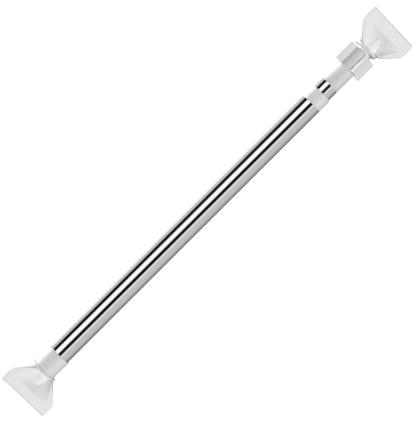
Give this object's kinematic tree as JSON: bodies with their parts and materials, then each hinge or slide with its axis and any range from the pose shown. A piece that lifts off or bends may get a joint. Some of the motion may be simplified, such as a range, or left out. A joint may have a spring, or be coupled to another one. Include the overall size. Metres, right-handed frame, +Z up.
{
  "type": "telescopic closet rod",
  "caption": "Telescopic chromed closet rod that clamps between two walls, with flared moulded feet, a twist lock inside the tubes and a winged nut that drives one foot out.",
  "frame": {"origin": "centre of foot A's contact face, the one on the outer tube's end, on the rod's axis", "axes": "+X along the rod towards foot B, Y along the feet's long side, Z along their short side; the rod is shown as it lies flat, +Z up"},
  "size_m": [0.5523, 0.062, 0.042],
  "materials": {
    "chrome_tube": "polished, with fine draw lines",
    "white_plastic": "satin moulded",
    "pad_rubber": "soft, grooved",
    "lock_nylon": "plain moulded",
    "zinc_steel": "bright zinc plate"
  },
  "bodies": {
    "outer": {"foot_a_shell": "white_plastic", "foot_a_pad": "pad_rubber", "foot_a_washer": "zinc_steel", "foot_a_screw": "zinc_steel", "foot_a_socket": "white_plastic", "outer_tube": "chrome_tube", "end_collar": "white_plastic"},
    "lock": {"lock_ring": "lock_nylon"},
    "inner": {"inner_tube": "chrome_tube", "lock_plug": "lock_nylon", "lock_washer": "zinc_steel", "lock_screw": "zinc_steel", "end_plug": "white_plastic"},
    "nut": {"wing_nut": "white_plastic"},
    "foot_b": {"drive_screw": "white_plastic", "screw_stop": "zinc_steel", "stop_screw": "zinc_steel", "foot_b_shell": "white_plastic", "foot_b_pad": "pad_rubber", "foot_b_washer": "zinc_steel", "foot_b_screw": "zinc_steel"}
  },
  "joints": [
    {"name": "telescope", "type": "slide", "parent": "outer", "child": "lock", "axis": [1, 0, 0], "range_m": [-0.0115, 0.3]},
    {"name": "twist", "type": "hinge", "parent": "lock", "child": "inner", "pos_m": [0.0665, 0, 0], "axis": [1, 0, 0], "range_deg": [0, 45]},
    {"name": "nut_turn", "type": "hinge", "parent": "inner", "child": "nut", "pos_m": [0.487, 0, 0], "axis": [1, 0, 0], "range_deg": [-1800, 180]},
    {"name": "foot_reach", "type": "slide", "parent": "inner", "child": "foot_b", "axis": [1, 0, 0], "range_m": [-0.002, 0.02]}
  ],
  "couplings": [
    {"joint": "nut_turn", "follows": "foot_reach", "rad_per_m": -1570.8}
  ]
}
